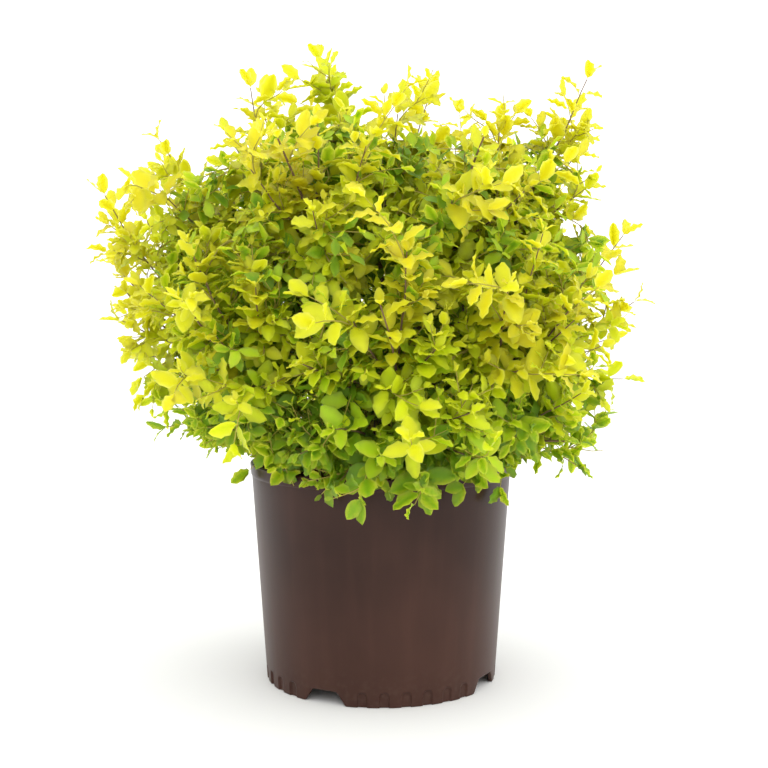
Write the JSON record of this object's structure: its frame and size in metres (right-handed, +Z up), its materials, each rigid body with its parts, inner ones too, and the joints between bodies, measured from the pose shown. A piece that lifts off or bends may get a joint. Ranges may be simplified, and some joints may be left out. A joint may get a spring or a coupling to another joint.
{
  "type": "potted chinese privet",
  "caption": "Golden small-leaved privet shrub in a brown plastic nursery pot: a rounded, dense crown of yellow-green wavy leaves on a short forked trunk, with loose shoots standing out.",
  "frame": {"origin": "centre of the pot's flat foot, on the floor that the pot stands on", "axes": "+Z up the plant, -Y towards the viewer of the picture, +X to the viewer's right"},
  "size_m": [0.6142, 0.5788, 0.6815],
  "materials": {
    "pot_plastic": "matte moulded brown plastic with a soft sheen",
    "potting_mix": "dark damp bark mix",
    "bark": "grey-brown bark with small pale pores",
    "foliage_gold": "semi-gloss young leaf",
    "foliage_yellow": "semi-gloss leaf",
    "foliage_lime": "semi-gloss leaf",
    "foliage_green": "semi-gloss older leaf"
  },
  "bodies": {
    "root": {"pot": "pot_plastic", "soil": "potting_mix", "trunk": "bark", "bough_top": "bark", "bough_upper_left": "bark", "bough_upper_front_left": "bark", "bough_upper_front_right": "bark", "bough_upper_right": "bark", "bough_upper_back_right": "bark", "bough_upper_back_left": "bark", "bough_middle_left": "bark", "bough_middle_front_left": "bark", "bough_middle_front": "bark", "bough_middle_front_right": "bark", "bough_middle_right": "bark", "bough_middle_back_right": "bark", "bough_middle_back": "bark", "bough_middle_back_left": "bark", "bough_skirt_front": "bark", "bough_skirt_front_right": "bark", "bough_skirt_back_right": "bark", "bough_skirt_back": "bark", "bough_skirt_back_left": "bark", "bough_skirt_front_left": "bark", "mass_top": "foliage_gold", "mass_upper_left": "foliage_yellow", "mass_upper_front_left": "foliage_yellow", "mass_upper_front_right": "foliage_yellow", "mass_upper_right": "foliage_yellow", "mass_upper_back_right": "foliage_yellow", "mass_upper_back_left": "foliage_yellow", "mass_middle_left": "foliage_lime", "mass_middle_front_left": "foliage_lime", "mass_middle_front": "foliage_lime", "mass_middle_front_right": "foliage_lime", "mass_middle_right": "foliage_lime", "mass_middle_back_right": "foliage_lime", "mass_middle_back": "foliage_lime", "mass_middle_back_left": "foliage_lime", "mass_skirt_front": "foliage_green", "mass_skirt_front_right": "foliage_green", "mass_skirt_back_right": "foliage_green", "mass_skirt_back": "foliage_green", "mass_skirt_back_left": "foliage_green", "mass_skirt_front_left": "foliage_green"}
  },
  "joints": []
}
